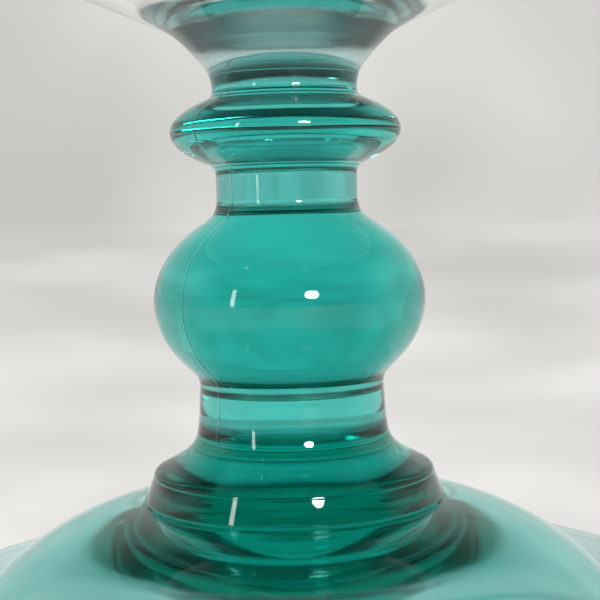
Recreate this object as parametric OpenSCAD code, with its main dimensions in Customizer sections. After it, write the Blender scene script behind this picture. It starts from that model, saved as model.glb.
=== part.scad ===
// Footed glass bowl (compote): a clear shallow bowl on a teal baluster stem and a
// hollow domed foot. Each gather of glass is its own solid. The gathers meet face to
// face on level joint planes, where the glassmaker stuck them together hot.
// Millimetres, +Z up, origin at the centre of the ring that the foot stands on.

/* [Bowl] */
// Diameter over the bowl's rim
bowl_d = 168; // [130:1:240]
// Thickness of the bowl's wall
bowl_wall = 2.2; // [1.6:0.1:4]
// Rise of the bowl's underside, in degrees above level
bowl_slope = 23; // [14:0.5:34]
// Radius of the curve that turns the underside up into the side
bowl_curve_r = 44; // [25:1:60]
// Steepness of the side at the rim, in degrees above level
bowl_lip_angle = 78; // [60:1:88]

/* [Clear wafer under the bowl] */
// Height of the wafer
wafer_h = 7.2; // [5:0.1:12]
// Spread of the wafer's flare, in degrees from upright
wafer_flare = 45; // [30:1:52]

/* [Upper stem] */
// Diameter of the neck above the ring
top_neck_d = 22.8; // [16:0.2:28]
// Height of that neck between the ring and the wafer
top_neck_h = 2.2; // [1.5:0.1:8]
// How far the teal core rises from that neck into the clear wafer
core_h = 5.8; // [2:0.1:6.5]
// Diameter of the ring knop
ring_d = 37.4; // [32:0.2:46]
// Height of the ring knop
ring_h = 13.8; // [10:0.2:18]
// Diameter of the neck between ring and ball
mid_neck_d = 22.8; // [16:0.2:28]
// Height of the neck between ring and ball
mid_neck_h = 4.7; // [3:0.1:12]

/* [Lower stem] */
// Diameter of the ball knop
ball_d = 44.2; // [38:0.2:56]
// Height of the ball knop
ball_h = 32.4; // [26:0.2:42]
// Diameter of the neck under the ball
low_neck_d = 30; // [24:0.2:34]
// Height of the neck under the ball, from ball to disc
low_neck_h = 11.3; // [10:0.1:20]
// Diameter of the stepped disc at its foot
disc_d = 50; // [44:0.5:60]
// How much narrower the disc is at the top of its edge
disc_draft = 3; // [0:0.1:4]
// Height of the disc's edge
disc_h = 5.8; // [3.5:0.1:9]
// Fall of the disc's top face, in degrees below level
disc_slope = 24; // [18:1:40]

/* [Foot] */
// Diameter over the foot's flange
foot_d = 140; // [116:1:190]
// Height of the foot, from the table to the crown of its dome
foot_h = 21.5; // [18:0.5:36]
// Radius of the dome's shoulder
foot_shoulder_r = 46.5; // [40:0.5:56]
// Width of the flange's level part
flange_w = 12.4; // [6:0.1:18]
// Thickness of the flange
flange_t = 4; // [3:0.1:6]
// Radius of the hollow curve between dome and flange
flange_fillet = 5; // [2:0.5:8]
// Thickness of the dome's wall at its shoulder
foot_wall = 3.2; // [2.4:0.1:4.5]
// Thickness of the dome's wall at its crown
foot_crown_wall = 6.5; // [4.5:0.1:9]
// Radius of the solid boss where it meets the disc
boss_r = 24.2; // [18:0.1:24.5]
// How far the boss hangs below the disc
boss_h = 14; // [10:0.5:17]

/* [Hidden] */
$fn = 128;

// How softly a knop, the disc and the bowl run into their necks
knop_blend = 2;
disc_blend = 5;
bowl_blend = 1.2;
// How softly the boss runs into the ceiling of the hollow, and how full its round bottom is
boss_blend = 10;
boss_power = 3;
// How far inside its pole a knop is cut for the joint to its neck
ball_seat = 1.3;
ring_seat = 0.3;
// Height of the wafer before its flare starts
wafer_straight = 0.6;
// Flat ledge on the neck round the foot of the core
core_ledge = 1;
// Rounding of the disc's lower and upper edges
disc_low_r = 0.9;
disc_high_r = 1.4;
// Width of the dome's crown under the disc, round the boss
crown_seat_w = 2;
// How far from straight down the disc's upper edge leaves its rounding, for a soft turn onto the top
disc_turn = 80;
// Thickness of the bowl's level floor over its joint, in wall thicknesses
floor_walls = 1.25;
// Height over the joint at which the straight underside takes over from the soft outline
join_h = 5;
// Height of one step along an outline, and steps in a small, middling and large arc
step = 0.6;
small_arc = 6;
mid_arc = 12;
large_arc = 24;

// The dome's circle: where the fillet leaves the level flange fixes its distance from the axis
dome_centre_z = foot_h - foot_shoulder_r;
fillet_r = foot_d / 2 - flange_w;
crown_r = fillet_r - sqrt(pow(foot_shoulder_r + flange_fillet, 2)
    - pow(flange_t + flange_fillet - dome_centre_z, 2));
// Half axes of the hollow's ellipse, which is flatter so that the crown is thicker
inner_a = foot_shoulder_r - foot_wall;
inner_b = foot_shoulder_r - foot_crown_wall;

// Radius at which the boss takes over from the dome's wall
plug_r = disc_d / 2 - crown_seat_w;

// Levels, from the table up
disc_z = dome_z(disc_d / 2);
disc_top_z = disc_z + disc_h;
low_joint_z = disc_top_z + low_neck_h / 2;
ball_z = disc_top_z + low_neck_h + ball_h / 2;
ball_half = ball_h / 2 - ball_seat;
ring_z = ball_z + ball_h / 2 + mid_neck_h + ring_h / 2;
ring_half = ring_h / 2 - ring_seat;
wafer_z = ring_z + ring_h / 2 + top_neck_h;
bowl_z = wafer_z + wafer_h;

clear_glass = [0.93, 0.95, 0.94, 0.45];
teal_glass = [0.10, 0.60, 0.55, 0.75];

// The larger of two radii, rounded where they cross
function soft_max(a, b, blend = knop_blend) = (a + b + sqrt(pow(a - b, 2) + blend * blend)) / 2;

// Radius of a knop that is a flattened ball, at a height above its centre
function knop(d, h, z) = abs(z) >= h / 2 ? 0 : d / 2 * sqrt(1 - pow(2 * z / h, 2));

// Points along an arc about [x, z], from one angle to another
function arc(x, z, r, from, to, n = 16) =
    [for (i = [0:n]) let (a = from + (to - from) * i / n) [x + r * cos(a), z + r * sin(a)]];

// Heights from a to b in even steps no longer than step
function levels(a, b) = let (n = ceil(abs(b - a) / step)) [for (i = [0:n]) a + (b - a) * i / n];

// Height of the dome's outer face at a radius, and of the hollow's ceiling where the boss hangs
function dome_z(r) = dome_centre_z + sqrt(pow(foot_shoulder_r, 2) - pow(max(r - crown_r, 0), 2));
function ceiling_z(r) = dome_centre_z + inner_b * sqrt(1 - pow(max(r - crown_r, 0) / inner_a, 2));

// Height of the boss's round bottom, and of the whole underside that it blends into
function boss_z(r) = disc_z - boss_h * (1 - pow(r / boss_r, boss_power));
function under_z(r) = -soft_max(-boss_z(r), -ceiling_z(r), boss_blend);

// Radius of the plain neck, which tapers inside the knops from one neck to the next
function neck_r(z) = lookup(z, [
    [ball_z - ball_h / 2, low_neck_d / 2],
    [ball_z + ball_h / 2, mid_neck_d / 2],
    [ring_z - ring_h / 2, mid_neck_d / 2],
    [ring_z + ring_h / 2, top_neck_d / 2]
]);

// The cone of the disc's top face, tangent to its rounded edge. The blend into the neck
// widens the cone, so it starts that much narrower.
disc_top_r = (disc_d - disc_draft) / 2;
disc_spread = disc_blend * disc_blend / (4 * disc_top_r - 2 * low_neck_d);
function disc_cone_r(z) = disc_top_r - disc_high_r - disc_spread
    + (disc_high_r - (z - disc_top_z + disc_high_r) * cos(disc_slope)) / sin(disc_slope);

// The wafer's flare, and the bowl's underside above it
function flare_r(z) = top_neck_d / 2 + (z - wafer_z - wafer_straight) * tan(wafer_flare);
function underside_r(z) = flare_r(bowl_z) + (z - bowl_z) / tan(bowl_slope);

// Outline of the whole stem, from the disc's top face to the bowl's underside
function stem_r(z) = let (
        ball = soft_max(neck_r(z), knop(ball_d, ball_h, z - ball_z)),
        ring = soft_max(ball, knop(ring_d, ring_h, z - ring_z)),
        disc = soft_max(ring, disc_cone_r(z), disc_blend),
        wafer = soft_max(disc, flare_r(z))
    ) soft_max(wafer, underside_r(z), bowl_blend);

// A turned solid between two levels of the stem's outline
module turned(z0, z1) {
    rotate_extrude()
        polygon(concat([[0, z1], [0, z0]], [for (z = levels(z0, z1)) [stem_r(z), z]]));
}

// Thin-walled shallow bowl with a rounded lip and a level floor
module bowl() {
    lip = bowl_lip_angle;
    // Centre of the curve, from the rim inwards
    curve_x = bowl_d / 2 - bowl_wall / 2 - (bowl_curve_r - bowl_wall / 2) * sin(lip);
    line_r = curve_x + bowl_curve_r * sin(bowl_slope);
    line_z = bowl_z + (line_r - flare_r(bowl_z)) * tan(bowl_slope);
    curve_z = line_z + bowl_curve_r * cos(bowl_slope);
    inner_r = bowl_curve_r - bowl_wall;
    inner_end = [curve_x + inner_r * sin(bowl_slope), curve_z - inner_r * cos(bowl_slope)];
    floor_z = bowl_z + bowl_wall * floor_walls;
    floor_r = inner_end[0] - (inner_end[1] - floor_z) / tan(bowl_slope);
    lip_at = bowl_curve_r - bowl_wall / 2;
    color(clear_glass) rotate_extrude() polygon(concat(
        [[0, bowl_z]],
        [for (z = levels(bowl_z, bowl_z + join_h)) [stem_r(z), z]],
        arc(curve_x, curve_z, bowl_curve_r, bowl_slope - 90, lip - 90, large_arc),
        arc(curve_x + lip_at * sin(lip), curve_z - lip_at * cos(lip), bowl_wall / 2,
            lip - 90, lip + 90, mid_arc),
        arc(curve_x, curve_z, inner_r, lip - 90, bowl_slope - 90, large_arc),
        [[floor_r, floor_z], [0, floor_z]]
    ));
}

// Outline of the core's rounded top, from the axis down to the ledge
function core_outline() = let (r = stem_r(wafer_z) - core_ledge)
    [for (i = [0:16]) [r * sin(i * 90 / 16), wafer_z + core_h * cos(i * 90 / 16)]];

// Clear flared wafer that carries the bowl, with a socket for the core
module bowl_wafer() {
    color(clear_glass) rotate_extrude() polygon(concat(
        core_outline(),
        [for (z = levels(wafer_z, bowl_z)) [stem_r(z), z]],
        [[0, bowl_z]]
    ));
}

// Waist between the ring knop and the wafer, with a core that rises into the wafer
module top_neck() {
    low_z = ring_z + ring_half;
    color(teal_glass) rotate_extrude() polygon(concat(
        core_outline(),
        [for (z = levels(wafer_z, low_z)) [stem_r(z), z]],
        [[0, low_z]]
    ));
}

// Flattened ring knop
module ring_knop() {
    color(teal_glass) turned(ring_z - ring_half, ring_z + ring_half);
}

// Waist between the ball and the ring
module middle_neck() {
    color(teal_glass) turned(ball_z + ball_half, ring_z - ring_half);
}

// Solid ball knop
module ball_knop() {
    color(teal_glass) turned(ball_z - ball_half, ball_z + ball_half);
}

// Stout neck under the ball
module lower_neck() {
    color(teal_glass) turned(low_joint_z, ball_z - ball_half);
}

// Disc with a drafted edge and a sloping top that runs up into the neck
module stepped_disc() {
    cone_z = disc_top_z - disc_high_r * (1 - cos(disc_slope));
    color(teal_glass) rotate_extrude() polygon(concat(
        [[0, disc_z]],
        arc(disc_d / 2 - disc_low_r, disc_z + disc_low_r, disc_low_r, -90, 0, small_arc),
        arc(disc_top_r - disc_high_r, disc_top_z - disc_high_r, disc_high_r, 0,
            disc_turn - disc_slope, small_arc),
        [for (z = levels(cone_z, low_joint_z)) [stem_r(z), z]],
        [[0, low_joint_z]]
    ));
}

// Solid boss that plugs the dome's crown and hangs into the hollow
module foot_boss() {
    color(teal_glass) rotate_extrude() polygon(concat(
        [[0, disc_z]],
        [for (i = [0:24]) let (r = plug_r * i / 24) [r, under_z(r)]],
        [[plug_r, disc_z]]
    ));
}

// Hollow foot, open underneath: a dome that runs out into a level flange
module foot() {
    rim_r = flange_t / 2;
    seat_r = disc_d / 2;
    // Angles on the outer shoulder where the disc's seat and the fillet begin
    seat_a = acos(max(seat_r - crown_r, 0) / foot_shoulder_r);
    fillet_a = asin((flange_t + flange_fillet - dome_centre_z) / (foot_shoulder_r + flange_fillet));
    // Radius of the hollow where it meets the table
    mouth_r = crown_r + inner_a * sqrt(1 - pow(dome_centre_z / inner_b, 2));
    color(teal_glass) rotate_extrude() polygon(concat(
        [[plug_r, disc_z], [seat_r, disc_z]],
        arc(crown_r, dome_centre_z, foot_shoulder_r, seat_a, fillet_a, 32),
        arc(fillet_r, flange_t + flange_fillet, flange_fillet, 180 + fillet_a, 270, 8),
        arc(foot_d / 2 - rim_r, rim_r, rim_r, 90, -90, 16),
        [[mouth_r, 0]],
        [for (i = [1:40]) let (r = mouth_r + (plug_r - mouth_r) * i / 40) [r, under_z(r)]]
    ));
}

bowl();
bowl_wafer();
top_neck();
ring_knop();
middle_neck();
ball_knop();
lower_neck();
stepped_disc();
foot_boss();
foot();
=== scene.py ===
"""A clear glass bowl on a teal glass stem: turned pieces, their glass, and a pale stage."""
import math

import bpy
from mathutils import Euler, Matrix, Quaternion, Vector


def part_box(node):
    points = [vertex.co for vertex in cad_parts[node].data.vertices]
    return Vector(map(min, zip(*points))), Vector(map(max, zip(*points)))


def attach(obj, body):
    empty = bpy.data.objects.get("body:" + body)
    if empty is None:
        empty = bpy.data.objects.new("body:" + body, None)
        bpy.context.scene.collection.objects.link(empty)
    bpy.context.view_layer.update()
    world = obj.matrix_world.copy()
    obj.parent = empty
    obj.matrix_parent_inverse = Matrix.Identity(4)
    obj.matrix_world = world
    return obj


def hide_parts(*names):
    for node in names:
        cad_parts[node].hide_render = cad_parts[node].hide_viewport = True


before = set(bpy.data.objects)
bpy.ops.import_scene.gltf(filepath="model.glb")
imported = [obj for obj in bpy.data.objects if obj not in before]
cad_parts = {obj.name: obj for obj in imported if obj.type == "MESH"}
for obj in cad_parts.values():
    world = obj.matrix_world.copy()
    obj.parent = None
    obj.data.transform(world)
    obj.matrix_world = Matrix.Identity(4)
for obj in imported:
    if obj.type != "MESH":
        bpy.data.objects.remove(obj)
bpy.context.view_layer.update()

bl_info = {
    "name": "Footed Glass Bowl",
    "version": (1, 0, 0),
    "blender": (4, 5, 0),
    "location": "3D View > Sidebar > Glass Bowl",
    "description": "Turns the pieces of a footed glass bowl and gives them their glass",
    "category": "Object",
}

MM = 0.001

# How finely pieces are drawn: steps round the axis, height between two points of the stem, steps in
# an arc or in a stretch of the outline, how far over the wafer the bowl's blended underside is drawn,
# the distance at which points are merged, and the sharpest angle that is shaded smooth
SPIN_STEPS = 256
LEVEL_STEP = 0.25 * MM
SMALL_ARC = 8
LIP_ARC = 16
RIM_ARC = 24
CORE_ARC = 32
WIDE_ARC = 48
FLOOR_STEPS = 12
BOSS_STEPS = 40
HOLLOW_STEPS = 64
JOIN_HEIGHT = 5 * MM
WELD = 0.002 * MM
CREASE = math.radians(30)


# Sizes and colours that a user would change

def number(name, description, default, **kind):
    return bpy.props.FloatProperty(name=name, description=description, default=default, **kind)


def distance(name, description, metres):
    return number(name, description, metres, subtype="DISTANCE", unit="LENGTH", precision=5)


def angle(name, description, degrees):
    return number(name, description, math.radians(degrees), subtype="ANGLE")


def colour(name, description, default):
    return bpy.props.FloatVectorProperty(
        name=name, description=description, default=default, subtype="COLOR", size=3, min=0, max=1)


class StemSizes(bpy.types.PropertyGroup):
    """The stem's necks and how its knops run into them"""
    top_neck_r: distance("Top neck", "Radius of the neck above the ring", 11.4 * MM)
    middle_neck_r: distance("Middle neck", "Radius of the neck between ring and ball", 11.4 * MM)
    lower_neck_r: distance("Lower neck", "Radius of the neck under the ball", 15 * MM)
    ball_seat: distance("Ball seat", "How far inside its pole the ball meets its neck", 1.3 * MM)
    ring_seat: distance("Ring seat", "How far inside its pole the ring meets its neck", 0.3 * MM)
    ball_crown: distance("Ball crown", "What the blend adds to the ball's radius", 0.1 * MM)
    ring_crown: distance("Ring crown", "What the blend adds to the ring's radius", 0.15 * MM)
    knop_blend: distance("Knop blend", "How softly a knop runs into its neck", 2 * MM)
    disc_blend: distance("Disc blend", "How softly the disc runs into its neck", 5 * MM)
    bowl_blend: distance("Bowl blend", "How softly the wafer runs into the bowl", 1.2 * MM)
    disc_draft: distance("Disc draft", "How much smaller its radius is at the top of its edge", 1.5 * MM)
    disc_h: distance("Disc edge", "Height of the disc's edge", 5.8 * MM)
    disc_slope: angle("Disc slope", "Fall of the disc's top face", 24)
    disc_low_r: distance("Disc lower rounding", "Rounding of the disc's lower edge", 0.9 * MM)
    disc_high_r: distance("Disc upper rounding", "Rounding of the disc's upper edge", 1.4 * MM)
    disc_turn: angle("Disc turn", "Where the upper rounding ends, before the top face's fall", 80)
    wafer_flare: angle("Wafer flare", "Spread of the wafer from upright", 45)
    wafer_straight: distance("Wafer straight", "Height of the wafer before its flare", 0.6 * MM)
    core_ledge: distance("Core ledge", "Flat ledge on the neck round the core in the wafer", 1 * MM)
    joint_lap: distance("Joint lap", "How far a hot joint sinks into the next piece", 0.03 * MM)


class BowlSizes(bpy.types.PropertyGroup):
    """The bowl's wall and curve"""
    wall: distance("Wall", "Thickness of the bowl's wall", 2.2 * MM)
    slope: angle("Slope", "Rise of the underside above level", 23)
    curve_r: distance("Curve", "Radius of the turn from underside to side", 44 * MM)
    lip_angle: angle("Lip angle", "Steepness of the side at the rim", 78)
    floor_walls: number("Floor", "Thickness of the level floor, in wall thicknesses", 1.25)
    floor_ease: distance("Floor ease", "Reach of the soft turn from the floor to the slope", 6 * MM)


class FootSizes(bpy.types.PropertyGroup):
    """The foot's dome, flange and boss"""
    shoulder_r: distance("Shoulder", "Radius of the dome's shoulder", 46.5 * MM)
    flange_w: distance("Flange width", "Width of the flange's level part", 12.4 * MM)
    flange_t: distance("Flange thickness", "Thickness of the flange", 4 * MM)
    fillet_r: distance("Flange fillet", "Radius of the hollow curve between dome and flange", 5 * MM)
    wall: distance("Wall", "Thickness of the dome's wall at its shoulder", 3.2 * MM)
    crown_wall: distance("Crown wall", "Thickness of the dome's wall at its crown", 6.5 * MM)
    height: distance("Height", "Height of the dome's crown over the table", 21.5 * MM)
    boss_r: distance("Boss radius", "Radius of the solid boss where it meets the disc", 24.2 * MM)
    boss_h: distance("Boss height", "How far the boss hangs below the disc", 14 * MM)
    boss_blend: distance("Boss blend", "How softly the boss runs into the hollow's ceiling", 10 * MM)
    boss_power: number("Boss fullness", "How full the boss's round bottom is", 3)


class GlassLook(bpy.types.PropertyGroup):
    """The colour in the depth of each glass, with a painted teal in the clear wafer, and its faint surface
    marks
    """
    teal_tint: colour("Teal", "Colour that deep teal glass tends to", (0.0, 0.845, 0.804))
    teal_density: number("Teal depth", "How fast the teal deepens, per metre", 84)
    disc_depth: number("Disc depth", "How fast the teal deepens in the thick disc, per metre", 140)
    clear_tint: colour("Clear", "Colour that deep clear glass tends to", (0.6, 0.9, 0.85))
    clear_density: number("Clear depth", "How fast the clear glass deepens, per metre", 4)
    wave: number("Waviness", "Height of the slow waves in the fire-polished face, in millimetres", 0.03)
    seam: number("Seam", "Height of the mould seam, in millimetres", 0.07)
    seam_turn: angle("Seam turn", "Angle of the mould seam about the axis", -139)
    smudge: number("Smudge", "Roughness that faint smudges add to every face", 0.01)
    clear_haze: number("Bowl haze", "Roughness of the bowl's face", 0.03)
    foot_haze: number("Foot haze", "Roughness of the foot's face", 0.06)
    collar_haze: number("Collar haze", "Roughness of the clear wafer under the bowl", 0.12)
    # The wafer's glass is clear: its faint teal is a painted reflection of the teal stem seen through it
    collar_painted_teal: number(
        "Collar depth", "How fast the teal that bled into the wafer deepens, per metre", 22)
    collar_rings: number(
        "Collar rings", "Height of the turning rings in the wafer's face, in millimetres", 0.03)


class StageLight(bpy.types.PropertyGroup):
    """The pale backdrop with its painted light and painted shadow, the lamp, the window and the dark side
    of the room
    """
    pale: number("Backdrop", "Brightness of the table and backdrop", 0.58)
    blotch: number("Blotches", "How much the backdrop's brightness varies", 0.12)
    # The apron is painted light on the table in front, beyond the painted shadow round the foot
    apron: number("Apron", "Share of that brightness on the table in front of the bowl", 0.65)
    sides: number("Sides", "Brightness of the room behind and beside the bowl", 0.55)
    dark: number("Dark side", "Brightness of the room in front and above", 0.012)
    lamp: number("Lamp", "Brightness of the lamp", 60)
    window: number("Window", "Brightness of the tall narrow window", 10)


# Outlines: lists of (radius, height), from the axis below to the axis above

def soft_max(a, b, blend):
    """The larger of two radii, rounded where they cross."""
    return (a + b + math.sqrt((a - b) ** 2 + blend * blend)) / 2


def knop_radius(radius, half_height, z):
    """Radius of a flattened ball at a height above its centre."""
    share = 1 - (z / half_height) ** 2
    return radius * math.sqrt(share) if share > 0 else 0.0


def arc(centre, radius, start, end, steps):
    """Points along an arc in the (radius, height) plane, with angles in radians."""
    angles = [start + (end - start) * i / steps for i in range(steps + 1)]
    return [(centre[0] + radius * math.cos(a), centre[1] + radius * math.sin(a)) for a in angles]


def levels(low, high):
    """Heights from low to high in even steps."""
    count = math.ceil((high - low) / LEVEL_STEP)
    return [low + (high - low) * i / count for i in range(count + 1)]


class Stem:
    """The outline of the whole stem, read from the frame's boxes and the scene's sizes."""

    def __init__(self, scene):
        sizes = self.s = scene.stem_sizes
        self.bowl_slope = scene.bowl_sizes.slope
        ball, ring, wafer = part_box("ball_knop"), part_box("ring_knop"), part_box("bowl_wafer")
        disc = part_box("stepped_disc")
        self.ball_z = (ball[0].z + ball[1].z) / 2
        self.ball_half = (ball[1].z - ball[0].z) / 2 + sizes.ball_seat
        self.ball_r = ball[1].x - sizes.ball_crown
        self.ring_z = (ring[0].z + ring[1].z) / 2
        self.ring_half = (ring[1].z - ring[0].z) / 2 + sizes.ring_seat
        self.ring_r = ring[1].x - sizes.ring_crown
        self.wafer_z = wafer[0].z
        self.bowl_z = wafer[1].z
        self.disc_z = disc[0].z
        self.disc_r = disc[1].x
        self.disc_top_z = self.disc_z + sizes.disc_h

    def neck(self, z):
        """Radius of the plain neck, which tapers inside the knops."""
        s = self.s
        stops = [
            (self.ball_z - self.ball_half, s.lower_neck_r),
            (self.ball_z + self.ball_half, s.middle_neck_r),
            (self.ring_z - self.ring_half, s.middle_neck_r),
            (self.ring_z + self.ring_half, s.top_neck_r),
        ]
        if z <= stops[0][0]:
            return stops[0][1]
        for (z0, r0), (z1, r1) in zip(stops, stops[1:]):
            if z <= z1:
                return r0 + (r1 - r0) * (z - z0) / (z1 - z0)
        return stops[-1][1]

    def flare(self, z):
        """Radius of the wafer's flaring side, which runs on into the bowl."""
        return self.s.top_neck_r + (z - self.wafer_z - self.s.wafer_straight) * math.tan(self.s.wafer_flare)

    def underside(self, z):
        """Radius of the bowl's straight underside."""
        return self.flare(self.bowl_z) + (z - self.bowl_z) / math.tan(self.bowl_slope)

    def disc_cone(self, z):
        """The cone of the disc's top face, tangent to its edge, and narrower by what its blend adds."""
        s = self.s
        top_r = self.disc_r - s.disc_draft
        spread = s.disc_blend ** 2 / (4 * (top_r - s.lower_neck_r))
        fall = (z - self.disc_top_z + s.disc_high_r) * math.cos(s.disc_slope)
        return top_r - s.disc_high_r - spread + (s.disc_high_r - fall) / math.sin(s.disc_slope)

    def radius(self, z):
        """Radius of the stem's outer face at a height."""
        s = self.s
        cone = self.disc_cone(z)
        r = soft_max(self.neck(z), knop_radius(self.ball_r, self.ball_half, z - self.ball_z), s.knop_blend)
        r = soft_max(r, knop_radius(self.ring_r, self.ring_half, z - self.ring_z), s.knop_blend)
        r = soft_max(r, cone, s.disc_blend)
        r = soft_max(r, self.flare(z), s.knop_blend)
        return soft_max(r, self.underside(z), s.bowl_blend)

    def side(self, low, high):
        """The outer face between two heights."""
        return [(self.radius(z), z) for z in levels(low, high)]


def with_laps(side, lap):
    """Closes an outer face with level joints that sink a little into the pieces above and below."""
    (r0, z0), (r1, z1) = side[0], side[-1]
    below = [(0, z0 - lap), (r0 - 2 * lap, z0 - lap)]
    above = [(r1 - 2 * lap, z1 + lap), (0, z1 + lap)]
    return below + side + above


def core(stem, lap):
    """The rounded teal core that rises from the top neck into the wafer, from its ledge to the axis."""
    radius = stem.radius(stem.wafer_z) - stem.s.core_ledge + lap
    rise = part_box("top_neck")[1].z - stem.wafer_z
    turns = [math.pi / 2 * i / CORE_ARC for i in range(CORE_ARC + 1)]
    return [(radius * math.cos(a), stem.wafer_z + lap + rise * math.sin(a)) for a in turns]


# Mesh tools

def deselect_all():
    """Leaves edit mode with nothing selected."""
    if bpy.context.object and bpy.context.object.mode != "OBJECT":
        bpy.ops.object.mode_set(mode="OBJECT")
    bpy.ops.object.select_all(action="DESELECT")


def turn(name, outline):
    """Draws an outline as a chain of edges, spins it about the Z axis and closes it."""
    deselect_all()
    bpy.ops.mesh.primitive_plane_add(size=MM, location=(outline[0][0], 0, outline[0][1]))
    piece = bpy.context.object
    piece.name = piece.data.name = name
    bpy.ops.object.transform_apply(location=True, rotation=True, scale=True)
    bpy.ops.object.mode_set(mode="EDIT")
    bpy.ops.mesh.select_mode(type="VERT")
    bpy.ops.mesh.select_all(action="SELECT")
    bpy.ops.mesh.merge(type="CENTER")
    for (r0, z0), (r1, z1) in zip(outline, outline[1:]):
        bpy.ops.mesh.extrude_region_move(TRANSFORM_OT_translate={"value": (r1 - r0, 0, z1 - z0)})
    bpy.ops.mesh.select_all(action="SELECT")
    bpy.ops.mesh.spin(steps=SPIN_STEPS, angle=math.tau, center=(0, 0, 0), axis=(0, 0, 1))
    bpy.ops.mesh.select_all(action="SELECT")
    bpy.ops.mesh.remove_doubles(threshold=WELD)
    bpy.ops.mesh.normals_make_consistent(inside=False)
    bpy.ops.object.mode_set(mode="OBJECT")
    bpy.ops.object.shade_smooth_by_angle(angle=CREASE)
    return piece


def finish_piece(piece, node, material):
    """Gives a piece its glass and ties it to the frame."""
    piece.data.materials.clear()
    piece.data.materials.append(bpy.data.materials[material])
    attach(piece, "root")
    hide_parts(node)


# Shader nodes

# Marks per metre, the seam's half width, how far it wanders in radians and over which height it fades,
# and the noise levels between which a smudge sets in
WAVE_SCALE = 70
RING_SCALE = (60, 60, 900)
WANDER_SCALE = 90
SMUDGE_SCALE = 45
SEAM_WIDTH = 0.28 * MM
SEAM_WANDER = 0.1
SEAM_FADE = 2 * MM
SMUDGE_EDGES = (0.52, 0.72)
GLASS_IOR = 1.5


def add_node(tree, kind, inputs=(), **settings):
    """A node with its settings and its inputs, each a plain value or another node's output."""
    made = tree.nodes.new(kind)
    for name, value in settings.items():
        setattr(made, name, value)
    for key, value in dict(inputs).items():
        if isinstance(value, bpy.types.NodeSocket):
            tree.links.new(value, made.inputs[key])
        else:
            made.inputs[key].default_value = value
    return made


def maths(tree, operation, first, second=0.0):
    return add_node(tree, "ShaderNodeMath", {0: first, 1: second}, operation=operation).outputs[0]


def ease(tree, value, start, end, low=0.0, high=1.0):
    """Eases from low at start to high at end."""
    inputs = {"Value": value, "From Min": start, "From Max": end, "To Min": low, "To Max": high}
    made = add_node(tree, "ShaderNodeMapRange", inputs, interpolation_type="SMOOTHSTEP")
    return made.outputs["Result"]


def noise(tree, place, scale, detail=1.0):
    inputs = {"Vector": place, "Scale": scale, "Detail": detail}
    return add_node(tree, "ShaderNodeTexNoise", inputs).outputs["Fac"]


def vector(tree, operation, first, second=(0, 0, 0)):
    """A vector, or a plain value where the operation gives one."""
    key = "Scale" if operation == "SCALE" else 1
    made = add_node(tree, "ShaderNodeVectorMath", {0: first, key: second}, operation=operation)
    return made.outputs["Value" if operation in ("LENGTH", "DOT_PRODUCT") else "Vector"]


def split(tree, place):
    """The X, Y and Z of a vector."""
    return add_node(tree, "ShaderNodeSeparateXYZ", {0: place}).outputs


def glass_face_group():
    """Slow waves, turning rings, a mould seam and faint smudges of fire-polished glass: a height in
    millimetres and a roughness."""
    group = bpy.data.node_groups.new("Glass face", "ShaderNodeTree")
    for name in ("Wave", "Rings", "Seam", "Seam turn", "Seam foot", "Haze", "Smudge"):
        group.interface.new_socket(name, in_out="INPUT", socket_type="NodeSocketFloat")
    for name in ("Height", "Roughness"):
        group.interface.new_socket(name, in_out="OUTPUT", socket_type="NodeSocketFloat")
    given = add_node(group, "NodeGroupInput").outputs
    place = add_node(group, "ShaderNodeTexCoord").outputs["Object"]
    axes = split(group, place)

    slow = maths(group, "MULTIPLY", noise(group, place, WAVE_SCALE), given["Wave"])
    tall = vector(group, "MULTIPLY", place, RING_SCALE)
    rings = maths(group, "MULTIPLY", noise(group, tall, 1.0, 2.0), given["Rings"])
    height = maths(group, "ADD", slow, rings)

    # The seam wanders a little about its angle, and is as wide as a hair all the way down
    reach = vector(group, "LENGTH", vector(group, "MULTIPLY", place, (1, 1, 0)))
    turned = maths(group, "ARCTAN2", axes["Y"], axes["X"])
    wander = maths(group, "SUBTRACT", noise(group, place, WANDER_SCALE), 0.5)
    wander = maths(group, "MULTIPLY", wander, SEAM_WANDER)
    aside = maths(group, "SUBTRACT", maths(group, "ADD", turned, wander), given["Seam turn"])
    aside = maths(group, "MULTIPLY", maths(group, "ABSOLUTE", aside), reach)
    above = maths(group, "ADD", given["Seam foot"], SEAM_FADE)
    seam = maths(group, "MULTIPLY", ease(group, aside, 0.0, SEAM_WIDTH, 1.0, 0.0),
                 ease(group, axes["Z"], given["Seam foot"], above))
    height = maths(group, "ADD", height, maths(group, "MULTIPLY", seam, given["Seam"]))

    smudge = ease(group, noise(group, place, SMUDGE_SCALE), *SMUDGE_EDGES)
    rough = maths(group, "ADD", maths(group, "MULTIPLY", smudge, given["Smudge"]), given["Haze"])
    add_node(group, "NodeGroupOutput", {"Height": height, "Roughness": rough})
    return group


def add_glass(name, tint, density, face, marks):
    """Clear body with its colour in the depth of the glass."""
    material = bpy.data.materials.new(name)
    material.use_nodes = True
    tree = material.node_tree
    tree.nodes.clear()
    face = add_node(tree, "ShaderNodeGroup", node_tree=face)
    for key, value in marks.items():
        face.inputs[key].default_value = value
    bump = add_node(tree, "ShaderNodeBump", {"Height": face.outputs["Height"], "Distance": MM})
    shader = add_node(tree, "ShaderNodeBsdfPrincipled", {
        "Base Color": (1, 1, 1, 1), "IOR": GLASS_IOR, "Transmission Weight": 1.0,
        "Roughness": face.outputs["Roughness"], "Normal": bump.outputs["Normal"]})
    depth = add_node(tree, "ShaderNodeVolumeAbsorption", {"Color": (*tint, 1), "Density": density})
    add_node(tree, "ShaderNodeOutputMaterial",
             {"Surface": shader.outputs["BSDF"], "Volume": depth.outputs["Volume"]})


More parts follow.
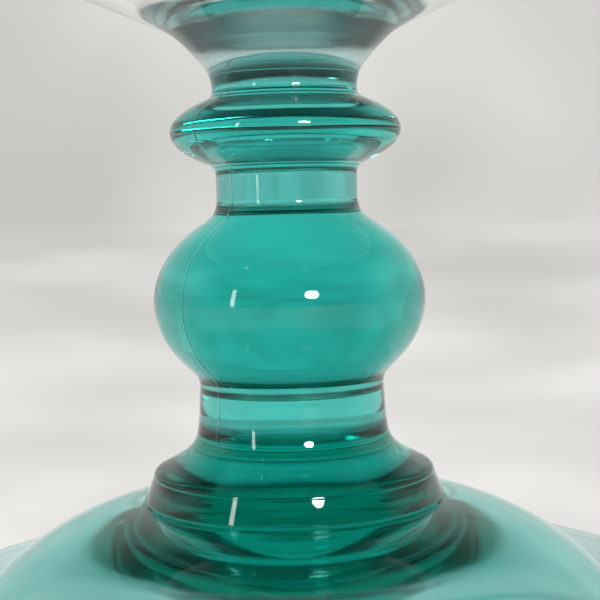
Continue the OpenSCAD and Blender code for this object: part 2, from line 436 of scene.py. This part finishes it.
class GLASSBOWL_OT_glass(bpy.types.Operator):
    """Make the teal glass with its deeper and hazier kinds, and the clear glass with its hazy kind"""
    bl_idname = "glassbowl.glass"
    bl_label = "Make the glasses"

    def execute(self, context):
        look = context.scene.glass_look
        face = glass_face_group()
        marks = {"Wave": look.wave, "Smudge": look.smudge, "Seam": look.seam, "Seam turn": look.seam_turn,
                 "Seam foot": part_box("lower_neck")[0].z - SEAM_FADE}
        add_glass("Teal glass", look.teal_tint, look.teal_density, face, marks)
        add_glass("Disc glass", look.teal_tint, look.disc_depth, face, marks)
        # The foot, the bowl and its collar have no seam
        marks["Seam"] = 0.0
        # The collar's faint teal is a painted reflection of the teal stem seen through the clear wafer
        for name, tint, density, haze, rings in (
                ("Foot glass", look.teal_tint, look.teal_density, look.foot_haze, 0.0),
                ("Clear glass", look.clear_tint, look.clear_density, look.clear_haze, 0.0),
                ("Collar glass", look.teal_tint, look.collar_painted_teal, look.collar_haze, look.collar_rings)):
            add_glass(name, tint, density, face, {**marks, "Haze": haze, "Rings": rings})
        return {"FINISHED"}


class GLASSBOWL_OT_stem(bpy.types.Operator):
    """Turn the necks, the ring knop, the ball knop and the stepped disc"""
    bl_idname = "glassbowl.stem"
    bl_label = "Turn the stem"

    def execute(self, context):
        sizes = context.scene.stem_sizes
        stem = Stem(context.scene)
        for node in ("lower_neck", "ball_knop", "middle_neck", "ring_knop"):
            low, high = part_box(node)
            piece = turn(node + "_glass", with_laps(stem.side(low.z, high.z), sizes.joint_lap))
            finish_piece(piece, node, "Teal glass")

        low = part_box("top_neck")[0]
        side = stem.side(low.z, stem.wafer_z)
        outline = with_laps(side, sizes.joint_lap)[:-1] + core(stem, sizes.joint_lap)
        piece = turn("top_neck_glass", outline)
        finish_piece(piece, "top_neck", "Teal glass")

        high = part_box("stepped_disc")[1]
        low_r, high_r = sizes.disc_low_r, sizes.disc_high_r
        top_r = stem.disc_r - sizes.disc_draft
        side = arc((stem.disc_r - low_r, stem.disc_z + low_r), low_r, -math.pi / 2, 0, SMALL_ARC)
        side += arc((top_r - high_r, stem.disc_top_z - high_r), high_r, 0,
                    sizes.disc_turn - sizes.disc_slope, SMALL_ARC)
        side += stem.side(stem.disc_top_z - high_r * (1 - math.cos(sizes.disc_slope)), high.z)
        piece = turn("stepped_disc_glass", with_laps(side, sizes.joint_lap))
        finish_piece(piece, "stepped_disc", "Disc glass")
        return {"FINISHED"}


class GLASSBOWL_OT_foot(bpy.types.Operator):
    """Turn the hollow domed foot, its flange and its boss"""
    bl_idname = "glassbowl.foot"
    bl_label = "Turn the foot"

    def execute(self, context):
        sizes = context.scene.foot_sizes
        lap = context.scene.stem_sizes.joint_lap
        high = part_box("foot")[1]
        boss_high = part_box("foot_boss")[1]
        seat_r, plug_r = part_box("stepped_disc")[1].x, boss_high.x
        centre_z = sizes.height - sizes.shoulder_r
        fillet_x = high.x - sizes.flange_w
        reach = sizes.shoulder_r + sizes.fillet_r
        rise = sizes.flange_t + sizes.fillet_r - centre_z
        crown_r = fillet_x - math.sqrt(reach ** 2 - rise ** 2)
        inner_a = sizes.shoulder_r - sizes.wall
        inner_b = sizes.shoulder_r - sizes.crown_wall
        rim_r = sizes.flange_t / 2
        seat_a = math.acos((seat_r - crown_r) / sizes.shoulder_r)
        fillet_a = math.asin(rise / reach)

        def under(r):
            """Height of the boss's round bottom, softly joined to the ceiling of the hollow."""
            boss = boss_high.z - sizes.boss_h * (1 - (r / sizes.boss_r) ** sizes.boss_power)
            share = max(r - crown_r, 0) / inner_a
            ceiling = centre_z + inner_b * math.sqrt(1 - share ** 2)
            return -soft_max(-boss, -ceiling, sizes.boss_blend)

        mouth_r = crown_r + inner_a * math.sqrt(1 - (centre_z / inner_b) ** 2)
        outline = [(plug_r - lap, boss_high.z + lap), (seat_r - 2 * lap, boss_high.z + lap)]
        outline += arc((crown_r, centre_z), sizes.shoulder_r, seat_a, fillet_a, WIDE_ARC)
        outline += arc((fillet_x, sizes.flange_t + sizes.fillet_r), sizes.fillet_r,
                       math.pi + fillet_a, 1.5 * math.pi, LIP_ARC)[1:]
        outline += arc((high.x - rim_r, rim_r), rim_r, math.pi / 2, -math.pi / 2, RIM_ARC)
        outline.append((mouth_r, 0))
        for i in range(1, HOLLOW_STEPS + 1):
            r = mouth_r + (plug_r - mouth_r) * i / HOLLOW_STEPS
            outline.append((r, under(r)))
        outline += [(plug_r - lap, outline[-1][1] + 2 * lap), outline[0]]
        piece = turn("foot_glass", outline)
        finish_piece(piece, "foot", "Foot glass")

        radii = [plug_r * i / BOSS_STEPS for i in range(BOSS_STEPS + 1)]
        outline = [(r, under(r)) for r in radii]
        outline += [(plug_r + lap, outline[-1][1] + 2 * lap), (plug_r + lap, boss_high.z - lap)]
        outline += [(plug_r, boss_high.z + lap), (0, boss_high.z + lap)]
        piece = turn("foot_boss_glass", outline)
        finish_piece(piece, "foot_boss", "Teal glass")
        return {"FINISHED"}


class GLASSBOWL_OT_bowl(bpy.types.Operator):
    """Turn the clear wafer and the bowl"""
    bl_idname = "glassbowl.bowl"
    bl_label = "Turn the bowl"

    def execute(self, context):
        sizes = context.scene.bowl_sizes
        stem = Stem(context.scene)
        lap = context.scene.stem_sizes.joint_lap
        low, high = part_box("bowl_wafer")
        side = stem.side(low.z, high.z)
        socket = core(stem, -lap)[::-1]
        piece = turn("bowl_wafer_glass", socket + with_laps(side, lap)[1:])
        finish_piece(piece, "bowl_wafer", "Collar glass")

        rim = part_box("bowl")[1]
        slope, lip, wall = sizes.slope, sizes.lip_angle, sizes.wall
        mid_r = sizes.curve_r - wall / 2
        curve_x = rim.x - wall / 2 - mid_r * math.sin(lip)
        line_r = curve_x + sizes.curve_r * math.sin(slope)
        line_z = stem.bowl_z + (line_r - stem.flare(stem.bowl_z)) * math.tan(slope)
        curve_z = line_z + sizes.curve_r * math.cos(slope)
        inner_r = sizes.curve_r - wall
        floor_z = stem.bowl_z + wall * sizes.floor_walls
        inner_x = curve_x + inner_r * math.sin(slope)
        inner_z = curve_z - inner_r * math.cos(slope)
        floor_r = inner_x - (inner_z - floor_z) / math.tan(slope)
        outline = [(0, stem.bowl_z - lap), (stem.radius(stem.bowl_z) - 2 * lap, stem.bowl_z - lap)]
        outline += stem.side(stem.bowl_z, stem.bowl_z + JOIN_HEIGHT)
        outline += arc((curve_x, curve_z), sizes.curve_r, slope - math.pi / 2, lip - math.pi / 2, WIDE_ARC)
        outline += arc((curve_x + mid_r * math.sin(lip), curve_z - mid_r * math.cos(lip)), wall / 2,
                       lip - math.pi / 2, lip + math.pi / 2, LIP_ARC)[1:-1]
        outline += arc((curve_x, curve_z), inner_r, lip - math.pi / 2, slope - math.pi / 2, WIDE_ARC)
        ease_r = sizes.floor_ease
        for i in range(FLOOR_STEPS + 1):
            t = i / FLOOR_STEPS
            r = (1 - t) ** 2 * (floor_r + ease_r) + 2 * t * (1 - t) * floor_r + t * t * (floor_r - ease_r)
            z = (1 - t) ** 2 * ease_r * math.tan(slope)
            outline.append((r, floor_z + z))
        outline.append((0, floor_z))
        piece = turn("bowl_glass", outline)
        finish_piece(piece, "bowl", "Clear glass")
        return {"FINISHED"}


# Stage

# The table, the bend at its back in steps of a straight length, and the wall above the bend
SWEEP_SIZE = 8
BEND_STEPS = 8
BEND_STEP = 0.1
WALL_HEIGHT = 1.2

# The sweep's paint and the painted light in its glow: the paint's colour and how dim its coat is, the noise
# and reach of its blotches, how the painted light brightens toward a low direction from the stem, where the
# painted shadow on the table in front ends, and the ring round the foot from which the apron's painted
# light shows
PAINT_WHITE = (1.0, 0.985, 0.955)
PAINT_SHADE = 0.08
PAINT_ROUGH = 0.7
BLOTCH_SCALE, BLOTCH_DETAIL = 5, 1.5
BLOTCH_EDGES = (0.3, 0.7)
BLOTCH_REACH = 0.35
STEM_MIDDLE = (0, 0, 0.07)
LOW_FALL, LOW_GLOW = -0.26, 1.28
FRONT_SHADOW_EDGES, FRONT_SHADOW_SHARE = (-0.03, 0.04), 0.04
FOOT_SHADOW_EDGES = (0.08, 0.13)

# The room: directions along Y and up between which it brightens or dims, then the lamp and the window
# by their turn, rise and soft edges, with angles in degrees
ROOM_WHITE = (1, 0.99, 0.97, 1)
SIDE_EDGES = (-0.45, 0.15)
OVERHEAD_EDGES, OVERHEAD_SHARE = (0.35, 0.75), 0.05
LAMP_TURN, LAMP_RISE = 18.5, 16.5
LAMP_EDGES = (6.3, 4.8)
WINDOW_TURN = -48
WINDOW_EDGES = (1.2, 2.4)
WINDOW_MIDDLE = 0.2
WINDOW_ENDS = (0.16, 0.22)

# The camera, with angles in degrees, and how often light may bounce
LENS = 78.6
SENSOR = 36
CAMERA_PLACE = (0, -0.218, 0.070)
PITCH, YAW, ROLL = -4.15, -0.45, 1.45
BOUNCES = 48
CLEAR_BOUNCES = 16


def toward(right, up):
    """Direction by its angles to the right of the viewer and above level, in degrees."""
    right, up = math.radians(right), math.radians(up)
    return Vector((math.sin(right) * math.cos(up), -math.cos(right) * math.cos(up), math.sin(up)))


def painted_light_sweep(light):
    """Softly blotched white that glows behind the bowl, with painted light brighter low down and a painted
    shadow on the table in front.
    """
    paint = bpy.data.materials.new("Sweep painted light")
    paint.use_nodes = True
    tree = paint.node_tree
    tree.nodes.clear()
    place = add_node(tree, "ShaderNodeTexCoord").outputs["Object"]
    reach = vector(tree, "LENGTH", place)
    # Blotches grow with distance, so that they look alike near the bowl and far behind it
    shrink = maths(tree, "DIVIDE", 1.0, maths(tree, "ADD", reach, BLOTCH_REACH))
    blotches = noise(tree, vector(tree, "SCALE", place, shrink), BLOTCH_SCALE, BLOTCH_DETAIL)
    blotches = ease(tree, blotches, *BLOTCH_EDGES, 1 - light.blotch, 1 + light.blotch)
    way = vector(tree, "NORMALIZE", vector(tree, "SUBTRACT", place, STEM_MIDDLE))
    # Painted light: the glow brightens toward directions low from the stem's middle
    fall = ease(tree, split(tree, way)["Z"], 0.0, LOW_FALL, 1.0, LOW_GLOW)
    # Painted shadow on the table in front of the bowl, where the glow drops to a small share
    behind = ease(tree, split(tree, place)["Y"], *FRONT_SHADOW_EDGES, FRONT_SHADOW_SHARE, 1.0)
    # The apron's painted light on the table in front, beyond a painted shadow round the foot
    apron_glow = ease(tree, reach, *FOOT_SHADOW_EDGES, 0.0, light.apron)
    behind = maths(tree, "MAXIMUM", behind, apron_glow)
    level = maths(tree, "MULTIPLY", maths(tree, "MULTIPLY", blotches, fall), behind)
    glow = vector(tree, "SCALE", [light.pale * c for c in PAINT_WHITE], level)
    coat = vector(tree, "SCALE", [PAINT_SHADE * c for c in PAINT_WHITE], blotches)
    shader = add_node(tree, "ShaderNodeBsdfPrincipled", {
        "Base Color": coat, "Roughness": PAINT_ROUGH, "Emission Color": glow, "Emission Strength": 1.0})
    add_node(tree, "ShaderNodeOutputMaterial", {"Surface": shader.outputs["BSDF"]})
    return paint


def room(light):
    """Bright behind and beside the bowl, dark in front and above, with a lamp and a narrow window."""
    world = bpy.data.worlds.new("Room")
    world.use_nodes = True
    tree = world.node_tree
    way = add_node(tree, "ShaderNodeTexCoord").outputs["Generated"]
    axes = split(tree, way)
    sides = ease(tree, axes["Y"], *SIDE_EDGES, 0.0, light.sides)
    overhead = ease(tree, maths(tree, "ABSOLUTE", axes["Z"]), *OVERHEAD_EDGES, 1.0, OVERHEAD_SHARE)
    total = maths(tree, "ADD", maths(tree, "MULTIPLY", sides, overhead), light.dark)

    near_lamp = vector(tree, "DOT_PRODUCT", way, toward(LAMP_TURN, LAMP_RISE))
    lamp_edges = [math.cos(math.radians(a)) for a in LAMP_EDGES]
    lamp = ease(tree, near_lamp, *lamp_edges, 0.0, light.lamp)

    turned = maths(tree, "ARCTAN2", axes["X"], maths(tree, "MULTIPLY", axes["Y"], -1.0))
    aside = maths(tree, "ABSOLUTE", maths(tree, "SUBTRACT", turned, math.radians(WINDOW_TURN)))
    strip = ease(tree, aside, *[math.radians(a) for a in WINDOW_EDGES], light.window, 0.0)
    aloft = maths(tree, "ABSOLUTE", maths(tree, "SUBTRACT", axes["Z"], WINDOW_MIDDLE))
    window = maths(tree, "MULTIPLY", strip, ease(tree, aloft, *WINDOW_ENDS, 1.0, 0.0))

    total = maths(tree, "ADD", maths(tree, "ADD", total, lamp), window)
    background = tree.nodes["Background"]
    background.inputs["Color"].default_value = ROOM_WHITE
    tree.links.new(total, background.inputs["Strength"])
    return world


class GLASSBOWL_OT_stage(bpy.types.Operator):
    """Set the pale table and backdrop with their painted light and painted shadow, the room's light and the
    camera
    """
    bl_idname = "glassbowl.stage"
    bl_label = "Set the stage"

    def execute(self, context):
        scene = context.scene
        light = scene.stage_light
        camera_data = bpy.data.cameras.new("Camera")
        camera_data.lens = LENS
        camera_data.sensor_width = SENSOR
        camera = bpy.data.objects.new("Camera", camera_data)
        scene.collection.objects.link(camera)
        camera.location = CAMERA_PLACE
        camera.rotation_mode = "QUATERNION"
        aim = Euler((math.radians(90 + PITCH), 0, math.radians(YAW))).to_quaternion()
        camera.rotation_quaternion = aim @ Quaternion((0, 0, 1), math.radians(-ROLL))
        scene.camera = camera

        # A table that turns up into a wall
        deselect_all()
        bpy.ops.mesh.primitive_plane_add(size=SWEEP_SIZE, location=(0, 0, 0))
        table = bpy.context.object
        table.name = "pale_sweep"
        bpy.ops.object.mode_set(mode="EDIT")
        bpy.ops.mesh.select_all(action="DESELECT")
        bpy.ops.object.mode_set(mode="OBJECT")
        for vertex in table.data.vertices:
            vertex.select = vertex.co.y > 0
        for edge in table.data.edges:
            edge.select = all(table.data.vertices[v].select for v in edge.vertices)
        bpy.ops.object.mode_set(mode="EDIT")
        bpy.ops.mesh.select_mode(type="EDGE")
        for i in range(BEND_STEPS):
            a = (i + 0.5) / BEND_STEPS * math.pi / 2
            bpy.ops.mesh.extrude_region_move(
                TRANSFORM_OT_translate={"value": (0, BEND_STEP * math.cos(a), BEND_STEP * math.sin(a))})
        bpy.ops.mesh.extrude_region_move(TRANSFORM_OT_translate={"value": (0, 0, WALL_HEIGHT)})
        bpy.ops.object.mode_set(mode="OBJECT")
        bpy.ops.object.shade_smooth()
        # The sweep's glow is painted light, with a painted shadow on the table in front of the bowl
        table.data.materials.append(painted_light_sweep(light))
        scene.world = room(light)

        scene.view_settings.view_transform = "Standard"
        scene.cycles.max_bounces = BOUNCES
        scene.cycles.transmission_bounces = BOUNCES
        scene.cycles.glossy_bounces = BOUNCES
        scene.cycles.transparent_max_bounces = CLEAR_BOUNCES
        return {"FINISHED"}


class GLASSBOWL_PT_panel(bpy.types.Panel):
    """Lists the steps that make the bowl"""
    bl_idname = "GLASSBOWL_PT_panel"
    bl_label = "Glass Bowl"
    bl_space_type = "VIEW_3D"
    bl_region_type = "UI"
    bl_category = "Glass Bowl"

    def draw(self, context):
        for step in STEPS:
            self.layout.operator(step.bl_idname)
        for sizes in GROUPS:
            box = self.layout.box()
            group = getattr(context.scene, sizes)
            for name in group.__annotations__:
                box.prop(group, name)


GROUPS = {"stem_sizes": StemSizes, "bowl_sizes": BowlSizes, "foot_sizes": FootSizes,
          "glass_look": GlassLook, "stage_light": StageLight}
STEPS = (GLASSBOWL_OT_glass, GLASSBOWL_OT_stem, GLASSBOWL_OT_foot, GLASSBOWL_OT_bowl, GLASSBOWL_OT_stage)
CLASSES = (*GROUPS.values(), *STEPS, GLASSBOWL_PT_panel)


def register():
    for cls in CLASSES:
        bpy.utils.register_class(cls)
    for name, group in GROUPS.items():
        setattr(bpy.types.Scene, name, bpy.props.PointerProperty(type=group))


def unregister():
    for name in GROUPS:
        delattr(bpy.types.Scene, name)
    for cls in reversed(CLASSES):
        bpy.utils.unregister_class(cls)


def main():
    register()
    bpy.ops.glassbowl.glass()
    bpy.ops.glassbowl.stem()
    bpy.ops.glassbowl.foot()
    bpy.ops.glassbowl.bowl()
    bpy.ops.glassbowl.stage()


if __name__ == "__main__":
    main()
